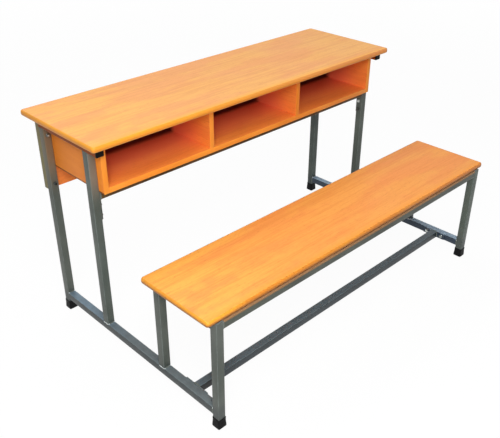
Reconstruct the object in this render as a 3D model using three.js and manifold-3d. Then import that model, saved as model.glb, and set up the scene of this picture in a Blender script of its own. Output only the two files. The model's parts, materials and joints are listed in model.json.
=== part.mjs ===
// School desk with attached bench: two welded end frames of square steel tube, joined along the
// length by bolted and welded rails, carry a desktop with three pigeonholes and a seat board.
// Millimetres. +X runs along the length, -Y is the bench side, +Z is up, the floor is z = 0.
import * as THREE from 'three';
import { mergeVertices } from 'three/addons/utils/BufferGeometryUtils.js';
import Module from 'manifold-3d';

const wasm = await Module();
wasm.setup();

// Clearance left between pieces that touch on the real desk
const fitGap = 0.3;
// How far a cutting tool reaches past the material
const overrun = 2;

// Square steel tube
const tubeSize = 27;
const tubeWall = 1.6;
const tubeCorner = 2.6;
const tubeCornerFaces = 4;

// End frames, along Y from the front of the bench legs
const frameLength = 1350;
const benchLegSpan = 279;
const kneeGap = 275;
const deskLegSpan = 276;
const runnerHeight = 44;
const stretcherSetback = 116;

// Boards
const boardThickness = 18;
const boardCorner = 24;
const boardCornerFaces = 8;
const deskHeight = 750;
const desktopEndReach = 22;
const desktopDepth = 415;
const desktopFrontReach = 72;
const bearerSetback = 20;
const seatHeight = 406;
const seatEndReach = 28;
const seatDepth = 297;
const seatFrontSetback = 3;

// Moulding round both boards: a round nose on a barbed tongue, pushed into a groove
const noseDepth = 4.5;
const noseFaces = 6;
const tongueLength = 9;
const tongueThickness = 1.6;
const barbHeight = 0.5;
const barbCount = 2;
const barbStartShare = 0.22;
const barbPitchShare = 0.36;
const barbSlopeShare = 0.3;

// Pigeonhole box under the desktop
const boxHeight = 165;
const boxFrontReach = 27;
const pigeonholes = 3;
const edgeTape = 1;
const backPanelHeight = 250;
const backPanelCorner = 3;

// End plates welded on the bolted rails
const plateLength = 98;
const plateWidth = 24;
const plateThickness = 3;
const plateCorner = 3;
const stretcherBoltPitch = 66;
const railBoltDrop = 49;
const railBoltPitch = 36;

// Fasteners
const boltDiameter = 6;
const boltLength = 16;
const boltHeadAcross = 10;
const boltHeadHeight = 4;
const collarDiameter = 13;
const collarThickness = 1.4;
const holeClearance = 0.5;
const roundFaces = 12;
const panelBoltDiameter = 6;
const panelBoltHeadDiameter = 16;
const panelBoltHeadHeight = 3.3;
const domeFaces = 4;
const panelBoltTail = 3;
const panelNutAcross = 10;
const panelNutHeight = 5;
const panelWasherDiameter = 14;
const panelWasherThickness = 1.4;
const upperPanelBoltDrop = 51;
const lowerPanelBoltRise = 28;

// Plastic foot shoes and tube caps
const shoeHeight = 34;
const shoeFloor = 5;
const shoeBaseWall = 2.4;
const shoeWaistWall = 1.1;
const shoeLipWall = 1.4;
const shoeCorner = 3.6;
const shoeRimHeightShare = 0.16;
const shoeWaistHeightShare = 0.7;
const shoeLipHeightShare = 0.86;
const capHeadThickness = 6;
const capFaceWidthShare = 0.84;
const capRimThicknessShare = 0.6;
const capStemLength = 16;
const capStemFit = 0.4;
const capStemTipShare = 0.9;

// Places worked out from the sizes
const frontFace = { bench: 0, desk: benchLegSpan + kneeGap };
const rearFace = { bench: benchLegSpan, desk: benchLegSpan + kneeGap + deskLegSpan };
const runnerTop = runnerHeight + tubeSize;
const desktopUnderside = deskHeight - boardThickness;
const seatUnderside = seatHeight - boardThickness;
const bearerUnderside = desktopUnderside - fitGap - tubeSize;
const shelfUnderside = desktopUnderside - boxHeight;
const shelfTop = shelfUnderside + boardThickness;
const boxFront = frontFace.desk - boxFrontReach;
const desktopFront = frontFace.desk - desktopFrontReach;
const bearerFront = desktopFront + bearerSetback + capHeadThickness;
const desktopLength = frameLength + 2 * desktopEndReach;
const seatLength = frameLength + 2 * seatEndReach;
const halfFrame = frameLength / 2;
const innerHalfFrame = halfFrame - tubeSize;
const foremostY = frontFace.bench - shoeBaseWall;
const rearmostY = desktopFront + desktopDepth;
const middleY = (foremostY + rearmostY) / 2;

const materials = {
  steel: new THREE.MeshStandardMaterial({ color: 0x69726f, roughness: 0.42, metalness: 0.35 }),
  board: new THREE.MeshStandardMaterial({ color: 0xf0a95c, roughness: 0.5, metalness: 0 }),
  moulding: new THREE.MeshStandardMaterial({ color: 0xe09a35, roughness: 0.4, metalness: 0 }),
  panel: new THREE.MeshStandardMaterial({ color: 0xd07531, roughness: 0.55, metalness: 0 }),
  tape: new THREE.MeshStandardMaterial({ color: 0xf29a3c, roughness: 0.45, metalness: 0 }),
  plastic: new THREE.MeshStandardMaterial({ color: 0x141414, roughness: 0.6, metalness: 0 }),
  zinc: new THREE.MeshStandardMaterial({ color: 0xc4c7c6, roughness: 0.35, metalness: 0.9 }),
};

const desk = new THREE.Group();

function addPiece(name, geometry, material, x, y, z) {
  const mesh = new THREE.Mesh(geometry, material);
  mesh.name = name;
  mesh.position.set(x, y - middleY, z);
  desk.add(mesh);
  return mesh;
}

// Joining and cutting

function toSolid(geometry) {
  const bare = geometry.clone();
  bare.deleteAttribute('normal');
  bare.deleteAttribute('uv');
  const merged = mergeVertices(bare);
  return new wasm.Manifold(new wasm.Mesh({
    numProp: 3,
    vertProperties: new Float32Array(merged.attributes.position.array),
    triVerts: new Uint32Array(merged.index.array),
  }));
}

function toGeometry(solid) {
  const mesh = solid.getMesh();
  const geometry = new THREE.BufferGeometry();
  geometry.setAttribute('position', new THREE.BufferAttribute(new Float32Array(mesh.vertProperties), 3));
  geometry.setIndex(new THREE.BufferAttribute(new Uint32Array(mesh.triVerts), 1));
  geometry.computeVertexNormals();
  return geometry;
}

function cutWith(geometry, tools) {
  let solid = toSolid(geometry);
  for (const tool of tools) {
    solid = solid.subtract(toSolid(tool));
  }
  return toGeometry(solid);
}

function joinAll(geometries) {
  let solid = toSolid(geometries[0]);
  for (const geometry of geometries.slice(1)) {
    solid = solid.add(toSolid(geometry));
  }
  return toGeometry(solid);
}

// Outlines and basic forms

function roundedRectangle(width, height, corner) {
  const right = width / 2;
  const top = height / 2;
  const shape = new THREE.Shape();
  shape.moveTo(-right + corner, -top);
  shape.lineTo(right - corner, -top);
  shape.absarc(right - corner, -top + corner, corner, -Math.PI / 2, 0);
  shape.lineTo(right, top - corner);
  shape.absarc(right - corner, top - corner, corner, 0, Math.PI / 2);
  shape.lineTo(-right + corner, top);
  shape.absarc(-right + corner, top - corner, corner, Math.PI / 2, Math.PI);
  shape.lineTo(-right, -top + corner);
  shape.absarc(-right + corner, -top + corner, corner, Math.PI, Math.PI * 3 / 2);
  return shape;
}

function roundHole(x, y, diameter) {
  const hole = new THREE.Path();
  hole.absarc(x, y, diameter / 2, 0, Math.PI * 2);
  return hole;
}

// A straight solid from z = 0 upwards, its corners and holes drawn with the given count of faces.
// Three.js gives an arc two faces for each of its segments.
function upright(shape, length, arcFaces) {
  const curveSegments = arcFaces / 2;
  return new THREE.ExtrudeGeometry(shape, { depth: length, bevelEnabled: false, curveSegments });
}

// Open square tube with rounded corners, its axis on z, from z = 0 upwards
function squareTube(length) {
  const section = roundedRectangle(tubeSize, tubeSize, tubeCorner);
  const bore = tubeSize - 2 * tubeWall;
  section.holes.push(roundedRectangle(bore, bore, Math.max(tubeCorner - tubeWall, tubeCorner / 4)));
  return upright(section, length, tubeCornerFaces);
}

// Upright forms turned to run along +X or +Y
function alongX(geometry) {
  return geometry.rotateY(Math.PI / 2);
}

function alongY(geometry) {
  return geometry.rotateX(-Math.PI / 2);
}

// Drill along +X or +Y that starts at the given point
function drill(diameter, length, direction, x, y, z) {
  const rod = new THREE.CylinderGeometry(diameter / 2, diameter / 2, length, roundFaces);
  rod.rotateX(Math.PI / 2).translate(0, 0, length / 2);
  return direction(rod).translate(x, y, z);
}

function hexPrism(across, height) {
  const cornerRadius = across / 2 / Math.cos(Math.PI / 6);
  return new THREE.CylinderGeometry(cornerRadius, cornerRadius, height, 6);
}

// A closed ring with a constant profile round a rounded rectangle. The profile lists
// [outwards, upwards] pairs, anticlockwise, measured from the rectangle's edge.
function ringRound(length, depth, corner, profile) {
  const positions = [];
  const faces = [];
  const quarter = Math.PI / 2;
  for (let turn = 0; turn < 4; turn += 1) {
    const sideX = Math.sign(Math.cos(turn * quarter + quarter / 2));
    const sideY = Math.sign(Math.sin(turn * quarter + quarter / 2));
    for (let step = 0; step <= boardCornerFaces; step += 1) {
      const angle = (turn + step / boardCornerFaces) * quarter;
      for (const [out, up] of profile) {
        const x = sideX * (length / 2 - corner) + Math.cos(angle) * (corner + out);
        const y = sideY * (depth / 2 - corner) + Math.sin(angle) * (corner + out);
        positions.push(x, y, up);
      }
    }
  }
  const stations = 4 * (boardCornerFaces + 1);
  const points = profile.length;
  for (let station = 0; station < stations; station += 1) {
    const next = (station + 1) % stations;
    for (let point = 0; point < points; point += 1) {
      const after = (point + 1) % points;
      const here = [station * points + point, station * points + after];
      const there = [next * points + point, next * points + after];
      faces.push(here[0], there[0], there[1], here[0], there[1], here[1]);
    }
  }
  const geometry = new THREE.BufferGeometry();
  geometry.setAttribute('position', new THREE.Float32BufferAttribute(positions, 3));
  geometry.setIndex(faces);
  geometry.computeVertexNormals();
  return geometry;
}

// A closed stack of rounded squares, each given as [width, height above the floor]
function squareStack(levels, corner) {
  const positions = [];
  const faces = [];
  let points = 0;
  for (const [width, height] of levels) {
    const square = roundedRectangle(width, width, corner * width / levels[0][0]);
    const outline = square.getPoints(tubeCornerFaces / 2);
    if (outline[0].distanceTo(outline[outline.length - 1]) < fitGap / 10) {
      outline.pop();
    }
    points = outline.length;
    for (const point of outline) {
      positions.push(point.x, point.y, height);
    }
  }
  const bottom = positions.length / 3;
  positions.push(0, 0, levels[0][1]);
  positions.push(0, 0, levels[levels.length - 1][1]);
  const lastLevel = (levels.length - 1) * points;
  for (let point = 0; point < points; point += 1) {
    const next = (point + 1) % points;
    faces.push(bottom, next, point);
    faces.push(bottom + 1, lastLevel + point, lastLevel + next);
    for (let level = 0; level < levels.length - 1; level += 1) {
      const low = level * points;
      const high = low + points;
      faces.push(low + point, low + next, high + next, low + point, high + next, high + point);
    }
  }
  const geometry = new THREE.BufferGeometry();
  geometry.setAttribute('position', new THREE.Float32BufferAttribute(positions, 3));
  geometry.setIndex(faces);
  geometry.computeVertexNormals();
  return geometry;
}

// Desktop and seat

// Round nose outside, tongue with barbs inside, as [outwards, upwards] pairs
function mouldingProfile() {
  const profile = [];
  const half = boardThickness / 2;
  for (let step = 0; step <= noseFaces; step += 1) {
    const angle = (step / noseFaces - 1 / 2) * Math.PI;
    profile.push([fitGap + noseDepth * Math.cos(angle), half * Math.sin(angle)]);
  }
  const upperSide = [[fitGap, tongueThickness / 2]];
  for (let barb = 0; barb < barbCount; barb += 1) {
    const root = (barbStartShare + barb * barbPitchShare) * tongueLength;
    upperSide.push([-root, tongueThickness / 2]);
    upperSide.push([-root, tongueThickness / 2 + barbHeight]);
    upperSide.push([-root - barbSlopeShare * tongueLength, tongueThickness / 2]);
  }
  upperSide.push([-tongueLength, tongueThickness / 4]);
  const lowerSide = upperSide.map(([out, up]) => [out, -up]).reverse();
  return profile.concat(upperSide, lowerSide);
}

function grooveProfile() {
  const half = tongueThickness / 2 + barbHeight + fitGap;
  const floor = -tongueLength - fitGap;
  return [[floor, -half], [overrun, -half], [overrun, half], [floor, half]];
}

// Board core with the groove cut all round, and the moulding that closes it
function addMouldedBoard(name, length, depth, frontY, underside) {
  const coreLength = length - 2 * (noseDepth + fitGap);
  const coreDepth = depth - 2 * (noseDepth + fitGap);
  const coreCorner = boardCorner - noseDepth - fitGap;
  const outline = roundedRectangle(coreLength, coreDepth, coreCorner);
  const core = upright(outline, boardThickness, boardCornerFaces).translate(0, 0, -boardThickness / 2);
  const groove = ringRound(coreLength, coreDepth, coreCorner, grooveProfile());
  const centreY = frontY + depth / 2;
  const centreZ = underside + boardThickness / 2;
  addPiece(name, cutWith(core, [groove]), materials.board, 0, centreY, centreZ);
  const moulding = ringRound(coreLength, coreDepth, coreCorner, mouldingProfile());
  addPiece(`${name}_moulding`, moulding, materials.moulding, 0, centreY, centreZ);
}

// Tube frame

// Runner between the two full-height legs, drilled in its inner wall for the stretcher bolts
function addRunner(side, sign) {
  const length = rearFace.desk - 2 * tubeSize - 2 * fitGap;
  const start = tubeSize + fitGap;
  const tube = alongY(squareTube(length));
  const middle = stretcherSetback + tubeSize / 2 - start;
  const holes = [-1, 1].map((end) => drill(
    boltDiameter + 2 * holeClearance, tubeWall + 2 * overrun, alongX,
    sign > 0 ? -tubeSize / 2 - overrun : tubeSize / 2 - tubeWall - overrun,
    middle + end * stretcherBoltPitch / 2, 0,
  ));
  const height = runnerHeight + tubeSize / 2;
  addPiece(`${side}_runner`, cutWith(tube, holes), materials.steel, legX(sign), start, height);
}

function legX(sign) {
  return sign * (halfFrame - tubeSize / 2);
}

// Bench legs: the front one reaches the floor shoe, the rear one stands on the runner
function addBenchLegs(side, sign) {
  const frontFoot = shoeFloor + fitGap;
  const top = seatUnderside - fitGap;
  const frontLeg = squareTube(top - frontFoot);
  addPiece(`${side}_bench_front_leg`, frontLeg, materials.steel, legX(sign), tubeSize / 2, frontFoot);
  const rearFoot = runnerTop + fitGap;
  const rearLeg = squareTube(top - rearFoot);
  const rearY = rearFace.bench - tubeSize / 2;
  addPiece(`${side}_bench_rear_leg`, rearLeg, materials.steel, legX(sign), rearY, rearFoot);
}

// Front desk leg: stands on the runner, drilled in its inner wall for the shelf rail's end plate
function addDeskFrontLeg(side, sign) {
  const foot = runnerTop + fitGap;
  const tube = squareTube(bearerUnderside - fitGap - foot);
  const holes = railBoltHeights().map((height) => drill(
    boltDiameter + 2 * holeClearance, tubeWall + 2 * overrun, alongX,
    sign > 0 ? -tubeSize / 2 - overrun : tubeSize / 2 - tubeWall - overrun,
    0, height - foot,
  ));
  const y = frontFace.desk + tubeSize / 2;
  addPiece(`${side}_desk_front_leg`, cutWith(tube, holes), materials.steel, legX(sign), y, foot);
}

// Rear desk leg: full height, drilled from front to rear for the back panel's bolts
function addDeskRearLeg(side, sign) {
  const foot = shoeFloor + fitGap;
  const tube = squareTube(bearerUnderside - fitGap - foot);
  const holes = panelBoltHeights().map((height) => drill(
    panelBoltDiameter + 2 * holeClearance, tubeSize + 2 * overrun, alongY,
    0, -tubeSize / 2 - overrun, height - foot,
  ));
  const y = rearFace.desk - tubeSize / 2;
  addPiece(`${side}_desk_rear_leg`, cutWith(tube, holes), materials.steel, legX(sign), y, foot);
}

// Bearers along Y: under each end of the desktop, and between the bench legs under the seat
function addBearers(side, sign) {
  const deskBearer = alongY(squareTube(rearFace.desk - bearerFront));
  const deskBearerZ = bearerUnderside + tubeSize / 2;
  addPiece(`${side}_desk_bearer`, deskBearer, materials.steel, legX(sign), bearerFront, deskBearerZ);
  const start = tubeSize + fitGap;
  const seatBearer = alongY(squareTube(benchLegSpan - 2 * start));
  const seatBearerZ = seatUnderside - fitGap - tubeSize / 2;
  addPiece(`${side}_seat_bearer`, seatBearer, materials.steel, legX(sign), start, seatBearerZ);
}

// Rails welded between the bench legs, flush with their outer faces, under the seat
function addSeatRails() {
  const half = innerHalfFrame - fitGap;
  const height = seatUnderside - fitGap - tubeSize / 2;
  const places = { front: tubeSize / 2, rear: rearFace.bench - tubeSize / 2 };
  for (const [place, y] of Object.entries(places)) {
    addPiece(`seat_${place}_rail`, alongX(squareTube(2 * half)), materials.steel, -half, y, height);
  }
}

// Rails with a bolted plate at each end

function railHalf() {
  return innerHalfFrame - 3 * fitGap - plateThickness;
}

// Plate in the YZ plane, long side given by its outline, from x = 0 to the plate thickness
function endPlate(width, height, holes) {
  const outline = roundedRectangle(width, height, plateCorner);
  for (const [across, up] of holes) {
    outline.holes.push(roundHole(across, up, boltDiameter + 2 * holeClearance));
  }
  // The outline's x becomes y and its y becomes z
  const plate = upright(outline, plateThickness, roundFaces);
  return plate.rotateX(Math.PI / 2).rotateZ(Math.PI / 2);
}

function plateX(sign) {
  return sign > 0 ? innerHalfFrame - fitGap - plateThickness : -innerHalfFrame + fitGap;
}

function addStretcher() {
  const y = stretcherSetback + tubeSize / 2;
  const z = runnerHeight + tubeSize / 2;
  const tube = alongX(squareTube(2 * railHalf()));
  addPiece('floor_stretcher', tube, materials.steel, -railHalf(), y, z);
  const offsets = [-stretcherBoltPitch / 2, stretcherBoltPitch / 2];
  for (const [side, sign] of sides()) {
    const plate = endPlate(plateLength, plateWidth, offsets.map((offset) => [offset, 0]));
    addPiece(`${side}_stretcher_plate`, plate, materials.steel, plateX(sign), y, z);
    offsets.forEach((offset, index) => {
      const place = index === 0 ? 'front' : 'rear';
      addPlateBolt(`${side}_stretcher_bolt_${place}`, sign, y + offset, z);
    });
  }
}

function addShelfRail() {
  const y = frontFace.desk + tubeSize / 2;
  const railTop = shelfUnderside - fitGap;
  const tube = alongX(squareTube(2 * railHalf()));
  addPiece('shelf_rail', tube, materials.steel, -railHalf(), y, railTop - tubeSize / 2);
  const plateMiddle = railTop - plateLength / 2;
  const holes = railBoltHeights().map((height) => [0, height - plateMiddle]);
  for (const [side, sign] of sides()) {
    const plate = endPlate(plateWidth, plateLength, holes);
    addPiece(`${side}_shelf_rail_plate`, plate, materials.steel, plateX(sign), y, plateMiddle);
    railBoltHeights().forEach((height, index) => {
      const place = index === 0 ? 'upper' : 'lower';
      addPlateBolt(`${side}_shelf_rail_bolt_${place}`, sign, y, height);
    });
  }
}

function railBoltHeights() {
  const upper = shelfUnderside - fitGap - railBoltDrop;
  return [upper, upper - railBoltPitch];
}

function panelBoltHeights() {
  return [desktopUnderside - upperPanelBoltDrop, desktopUnderside - backPanelHeight + lowerPanelBoltRise];
}

// Fasteners

// Hexagon bolt with a collar, its seat at z = 0 and its shank towards +z
function flangeBolt() {
  const collarRadius = collarDiameter / 2;
  const collar = new THREE.CylinderGeometry(collarRadius, collarRadius, collarThickness, roundFaces);
  collar.translate(0, -collarThickness / 2, 0);
  const headBottom = collarThickness / 2;
  const head = hexPrism(boltHeadAcross, boltHeadHeight + headBottom);
  head.translate(0, -headBottom - (boltHeadHeight + headBottom) / 2, 0);
  const shankStart = collarThickness / 2;
  const shank = new THREE.CylinderGeometry(
    boltDiameter / 2, boltDiameter / 2, boltLength + shankStart, roundFaces,
  );
  shank.translate(0, (boltLength - shankStart) / 2, 0);
  return joinAll([collar, head, shank]).rotateX(Math.PI / 2);
}

// Bolt through an end plate, its shank towards the outside of the frame
function addPlateBolt(name, sign, y, z) {
  const bolt = flangeBolt().rotateY(sign * Math.PI / 2);
  const seatX = sign * (innerHalfFrame - plateThickness - 2 * fitGap);
  addPiece(name, bolt, materials.zinc, seatX, y, z);
}

// Cup head bolt from the rear of the back panel through the leg, towards the bench
function panelBolt() {
  const clamped = tubeSize + boardThickness + 3 * fitGap;
  const reach = clamped + panelWasherThickness + panelNutHeight + panelBoltTail;
  const radius = panelBoltDiameter / 2;
  const headRadius = panelBoltHeadDiameter / 2;
  const profile = [new THREE.Vector2(0, -reach), new THREE.Vector2(radius, -reach)];
  profile.push(new THREE.Vector2(radius, 0), new THREE.Vector2(headRadius, 0));
  for (let step = 1; step < domeFaces; step += 1) {
    const angle = step / domeFaces * Math.PI / 2;
    const across = headRadius * Math.cos(angle);
    profile.push(new THREE.Vector2(across, panelBoltHeadHeight * Math.sin(angle)));
  }
  profile.push(new THREE.Vector2(0, panelBoltHeadHeight));
  return new THREE.LatheGeometry(profile, roundFaces);
}

// Nut on its washer, bored to clear the bolt, seated at y = 0 and standing towards -y
function panelNut() {
  const washer = new THREE.CylinderGeometry(
    panelWasherDiameter / 2, panelWasherDiameter / 2, panelWasherThickness, roundFaces,
  );
  washer.translate(0, -panelWasherThickness / 2, 0);
  const nutStart = panelWasherThickness / 2;
  const nut = hexPrism(panelNutAcross, panelNutHeight + nutStart);
  nut.translate(0, -nutStart - (panelNutHeight + nutStart) / 2, 0);
  const length = panelNutHeight + panelWasherThickness + 2 * overrun;
  const radius = panelBoltDiameter / 2 + fitGap;
  const bore = new THREE.CylinderGeometry(radius, radius, length, roundFaces);
  bore.translate(0, overrun - length / 2, 0);
  return cutWith(joinAll([washer, nut]), [bore]);
}

function addPanelBolts(side, sign) {
  panelBoltHeights().forEach((height, index) => {
    const place = index === 0 ? 'upper' : 'lower';
    const seatY = rearFace.desk + boardThickness + 2 * fitGap;
    addPiece(`${side}_panel_bolt_${place}`, panelBolt(), materials.zinc, legX(sign), seatY, height);
    const nutY = rearFace.desk - tubeSize - fitGap;
    addPiece(`${side}_panel_nut_${place}`, panelNut(), materials.zinc, legX(sign), nutY, height);
  });
}

// Pigeonhole box

// Upright panel in the YZ plane with its front edge taped, centred on x
function addUprightPanel(name, x, underside) {
  const depth = rearFace.desk - boxFront;
  const height = desktopUnderside - fitGap - underside;
  const boardDepth = depth - edgeTape - 2 * fitGap;
  const board = new THREE.BoxGeometry(boardThickness, boardDepth, height);
  const boardY = boxFront + edgeTape + fitGap + boardDepth / 2;
  addPiece(name, board, materials.panel, x, boardY, underside + height / 2);
  const tape = new THREE.BoxGeometry(boardThickness, edgeTape, height);
  addPiece(`${name}_tape`, tape, materials.tape, x, boxFront + edgeTape / 2, underside + height / 2);
}

function endPanelX() {
  return innerHalfFrame - fitGap - boardThickness / 2;
}

function addBox() {
  for (const [side, sign] of sides()) {
    addUprightPanel(`${side}_end_panel`, sign * endPanelX(), shelfUnderside);
  }
  const clearHalf = endPanelX() - boardThickness / 2;
  const pitch = (2 * clearHalf + boardThickness) / pigeonholes;
  for (let divider = 1; divider < pigeonholes; divider += 1) {
    const x = -clearHalf - boardThickness / 2 + divider * pitch;
    addUprightPanel(`divider_${divider}`, x, shelfTop + fitGap);
  }
  addShelf(clearHalf);
  addBackPanel();
}

function addShelf(clearHalf) {
  const length = 2 * (clearHalf - fitGap);
  const boardDepth = rearFace.desk - boxFront - edgeTape - 2 * fitGap;
  const board = new THREE.BoxGeometry(length, boardDepth, boardThickness);
  const middle = shelfUnderside + boardThickness / 2;
  addPiece('shelf', board, materials.panel, 0, boxFront + edgeTape + fitGap + boardDepth / 2, middle);
  const tape = new THREE.BoxGeometry(length, edgeTape, boardThickness);
  addPiece('shelf_tape', tape, materials.tape, 0, boxFront + edgeTape / 2, middle);
}

// Back panel on the rear faces of the legs, drilled for its bolts
function addBackPanel() {
  const height = backPanelHeight - fitGap;
  const middle = desktopUnderside - fitGap - height / 2;
  const outline = roundedRectangle(frameLength, height, backPanelCorner);
  for (const [, sign] of sides()) {
    for (const boltHeight of panelBoltHeights()) {
      const diameter = panelBoltDiameter + 2 * holeClearance;
      outline.holes.push(roundHole(legX(sign), boltHeight - middle, diameter));
    }
  }
  const panel = upright(outline, boardThickness, boardCornerFaces).rotateX(Math.PI / 2);
  addPiece('back_panel', panel, materials.panel, 0, rearFace.desk + fitGap + boardThickness, middle);
}

// Plastic parts

function footShoe() {
  const levels = [
    [tubeSize + 2 * shoeBaseWall, 0],
    [tubeSize + 2 * shoeBaseWall, shoeRimHeightShare * shoeHeight],
    [tubeSize + 2 * shoeWaistWall, shoeWaistHeightShare * shoeHeight],
    [tubeSize + 2 * shoeLipWall, shoeLipHeightShare * shoeHeight],
    [tubeSize + 2 * shoeLipWall, shoeHeight],
  ];
  const pocketWidth = tubeSize + 2 * fitGap;
  const pocketOutline = roundedRectangle(pocketWidth, pocketWidth, tubeCorner);
  const pocket = upright(pocketOutline, shoeHeight - shoeFloor + overrun, tubeCornerFaces);
  return cutWith(squareStack(levels, shoeCorner), [pocket.translate(0, 0, shoeFloor)]);
}

// Cap for an open tube end: a head with a softened face and a tapered stem, stem towards +y
function tubeCap() {
  const stemWidth = tubeSize - 2 * tubeWall - 2 * capStemFit;
  const head = squareStack([
    [tubeSize * capFaceWidthShare, 0],
    [tubeSize, (1 - capRimThicknessShare) * capHeadThickness],
    [tubeSize, capHeadThickness - fitGap],
  ], tubeCorner);
  const stem = squareStack([
    [stemWidth, capHeadThickness / 2],
    [stemWidth * capStemTipShare, capHeadThickness + capStemLength],
  ], tubeCorner - tubeWall / 2);
  return alongY(joinAll([head, stem]));
}

function addPlastics(side, sign) {
  addPiece(`${side}_front_shoe`, footShoe(), materials.plastic, legX(sign), tubeSize / 2, 0);
  addPiece(`${side}_rear_shoe`, footShoe(), materials.plastic, legX(sign), rearFace.desk - tubeSize / 2, 0);
  const capY = bearerFront - capHeadThickness;
  const capZ = bearerUnderside + tubeSize / 2;
  addPiece(`${side}_bearer_cap`, tubeCap(), materials.plastic, legX(sign), capY, capZ);
}

function sides() {
  return [['left', -1], ['right', 1]];
}

for (const [side, sign] of sides()) {
  addRunner(side, sign);
  addBenchLegs(side, sign);
  addDeskFrontLeg(side, sign);
  addDeskRearLeg(side, sign);
  addBearers(side, sign);
  addPanelBolts(side, sign);
  addPlastics(side, sign);
}
addSeatRails();
addStretcher();
addShelfRail();
addMouldedBoard('desktop', desktopLength, desktopDepth, desktopFront, desktopUnderside);
addMouldedBoard('seat', seatLength, seatDepth, frontFace.bench + seatFrontSetback, seatUnderside);
addBox();

export default desk;
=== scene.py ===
# School desk with bench: finishes, edging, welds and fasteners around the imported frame, in a pale studio
import json
import math
import random

import bmesh
import bpy
from mathutils import Matrix, Vector


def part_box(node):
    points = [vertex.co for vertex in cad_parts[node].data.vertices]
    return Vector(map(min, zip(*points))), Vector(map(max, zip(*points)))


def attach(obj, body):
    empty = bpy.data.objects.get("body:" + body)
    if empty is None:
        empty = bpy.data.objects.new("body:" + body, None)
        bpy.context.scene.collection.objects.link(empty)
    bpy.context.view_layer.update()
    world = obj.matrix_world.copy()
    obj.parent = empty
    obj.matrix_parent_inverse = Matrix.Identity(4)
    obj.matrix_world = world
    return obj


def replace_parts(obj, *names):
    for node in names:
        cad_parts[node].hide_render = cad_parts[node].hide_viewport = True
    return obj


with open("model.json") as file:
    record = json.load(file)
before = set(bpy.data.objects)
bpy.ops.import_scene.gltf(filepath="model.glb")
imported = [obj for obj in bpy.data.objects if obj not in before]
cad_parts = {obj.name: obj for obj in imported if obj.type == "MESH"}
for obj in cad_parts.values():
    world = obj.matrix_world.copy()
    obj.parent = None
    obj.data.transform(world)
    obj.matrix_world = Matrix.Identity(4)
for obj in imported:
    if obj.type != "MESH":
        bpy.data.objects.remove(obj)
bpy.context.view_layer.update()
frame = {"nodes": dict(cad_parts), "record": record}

cadNodes = frame["nodes"]
mm = 0.001
print("frame loaded,", len(cadNodes), "nodes")


# Camera

camera = {
    "place": (-1.63437, -1.55109, 1.56759),
    "yaw": 44.47,        # degrees from +Y towards +X
    "pitch": -30.26,
    "roll": 0.19,
    "lens": 50.32,
    "sensor": 36.0,
    "reach": 100,        # metres
}


def addCamera():
    data = bpy.data.cameras.new("photoCamera")
    data.lens = camera["lens"]
    data.sensor_width = camera["sensor"]
    data.clip_end = camera["reach"]
    eye = bpy.data.objects.new("photoCamera", data)
    turn = Matrix.Rotation(math.radians(-camera["yaw"]), 4, "Z")
    tilt = Matrix.Rotation(math.radians(90 + camera["pitch"]), 4, "X")
    roll = Matrix.Rotation(math.radians(camera["roll"]), 4, "Z")
    eye.matrix_world = Matrix.Translation(camera["place"]) @ turn @ tilt @ roll
    bpy.context.scene.collection.objects.link(eye)
    bpy.context.scene.camera = eye


addCamera()
print("camera set")


# Nodes and materials

def srgb(red, green, blue):  # a colour as a picture shows it, made linear
    channels = []
    for value in (red, green, blue):
        share = value / 255
        channels.append(share / 12.92 if share <= 0.04045 else ((share + 0.055) / 1.055) ** 2.4)
    return (*channels, 1.0)


class Wire:  # a node's output, ready for use in an expression
    def __init__(self, finish, socket):
        self.finish = finish
        self.socket = socket

    def __add__(self, other):
        return self.finish.maths("ADD", self, other)

    def __radd__(self, other):
        return self.finish.maths("ADD", other, self)

    def __sub__(self, other):
        return self.finish.maths("SUBTRACT", self, other)

    def __rsub__(self, other):
        return self.finish.maths("SUBTRACT", other, self)

    def __mul__(self, other):
        return self.finish.maths("MULTIPLY", self, other)

    def __rmul__(self, other):
        return self.finish.maths("MULTIPLY", other, self)


class Nodes:  # a node tree, filled one node at a time
    def __init__(self, tree):
        self.tree = tree

    def node(self, kind, settings=None, sockets=None, output=0):
        made = self.tree.nodes.new(kind)
        for name, value in (settings or {}).items():
            setattr(made, name, value)
        for name, value in (sockets or {}).items():
            if isinstance(value, Wire):
                self.tree.links.new(value.socket, made.inputs[name])
            else:
                made.inputs[name].default_value = value
        return Wire(self, made.outputs[output]) if len(made.outputs) else made


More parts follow.
